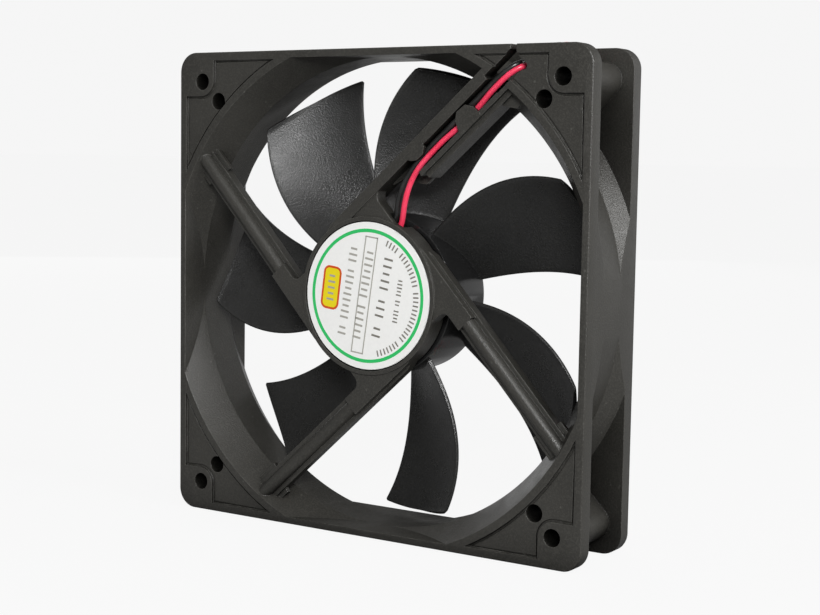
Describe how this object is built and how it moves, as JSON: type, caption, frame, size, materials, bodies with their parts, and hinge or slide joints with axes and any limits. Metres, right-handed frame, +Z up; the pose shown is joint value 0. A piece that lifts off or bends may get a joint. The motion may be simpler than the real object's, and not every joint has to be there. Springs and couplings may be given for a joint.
{
  "type": "case fan",
  "caption": "Square brushless case fan: framed axial impeller on a sleeve bearing, motor base on angled struts, two leads coiled behind to a small plug",
  "frame": {"origin": "middle of the bottom edge of the fan's frame, half way between its two faces", "axes": "+X to the right as seen from the exhaust face, +Y along the shaft from the exhaust face (struts and label) to the intake face, +Z up; the fan stands on its bottom edge"},
  "size_m": [0.12, 0.0509, 0.1217],
  "materials": {
    "frame_plastic": "black moulded plastic with a fine grain, satin",
    "impeller_plastic": "black moulded plastic, satin blades and a glossier hub",
    "label_print": "white printed sticker, satin",
    "brass": "turned brass",
    "bronze": "sintered oil-filled bronze, dull",
    "steel": "drawn or ground steel",
    "ferrite": "plastic-bonded ferrite, dull dark grey",
    "stator_iron": "stacked electrical steel",
    "copper": "enamelled copper wire",
    "nylon": "natural nylon",
    "rubber": "black rubber",
    "tin": "tinned metal",
    "board": "green solder mask",
    "chip": "black moulded package",
    "ceramic": "tan ceramic",
    "red_insulation": "red wire insulation, semi-gloss",
    "black_insulation": "black wire insulation, semi-gloss",
    "white_plastic": "white moulded nylon",
    "tie_plastic": "white nylon tie"
  },
  "bodies": {
    "fan_frame": {"frame": "frame_plastic", "label": "label_print", "bearing_tube": "brass", "sleeve_bearing": "bronze", "bearing_cap": "rubber", "stator_core": "stator_iron", "bobbin_upper": "white_plastic", "bobbin_lower": "white_plastic", "winding_1": "copper", "winding_2": "copper", "winding_3": "copper", "winding_4": "copper", "winding_pin_1": "tin", "winding_pin_2": "tin", "winding_pin_3": "tin", "winding_pin_4": "tin", "circuit_board": "board", "hall_sensor": "chip", "driver_chip": "chip", "capacitor": "ceramic", "resistor_1": "chip", "resistor_2": "chip", "lead_red": "red_insulation", "lead_black": "black_insulation", "lead_coil": "black_insulation", "lead_red_end": "red_insulation", "lead_black_end": "black_insulation", "coil_tie": "tie_plastic", "plug_housing": "white_plastic", "plug_contact_red": "tin", "plug_contact_black": "tin"},
    "rotor": {"impeller": "impeller_plastic", "rotor_yoke": "steel", "ring_magnet": "ferrite", "shaft": "steel", "shaft_clip": "steel", "thrust_washer": "nylon", "oil_ring": "rubber"}
  },
  "joints": [
    {"name": "impeller_spin", "type": "hinge", "parent": "fan_frame", "child": "rotor", "pos_m": [0, 0, 0.06], "axis": [0, 1, 0], "continuous": true}
  ]
}
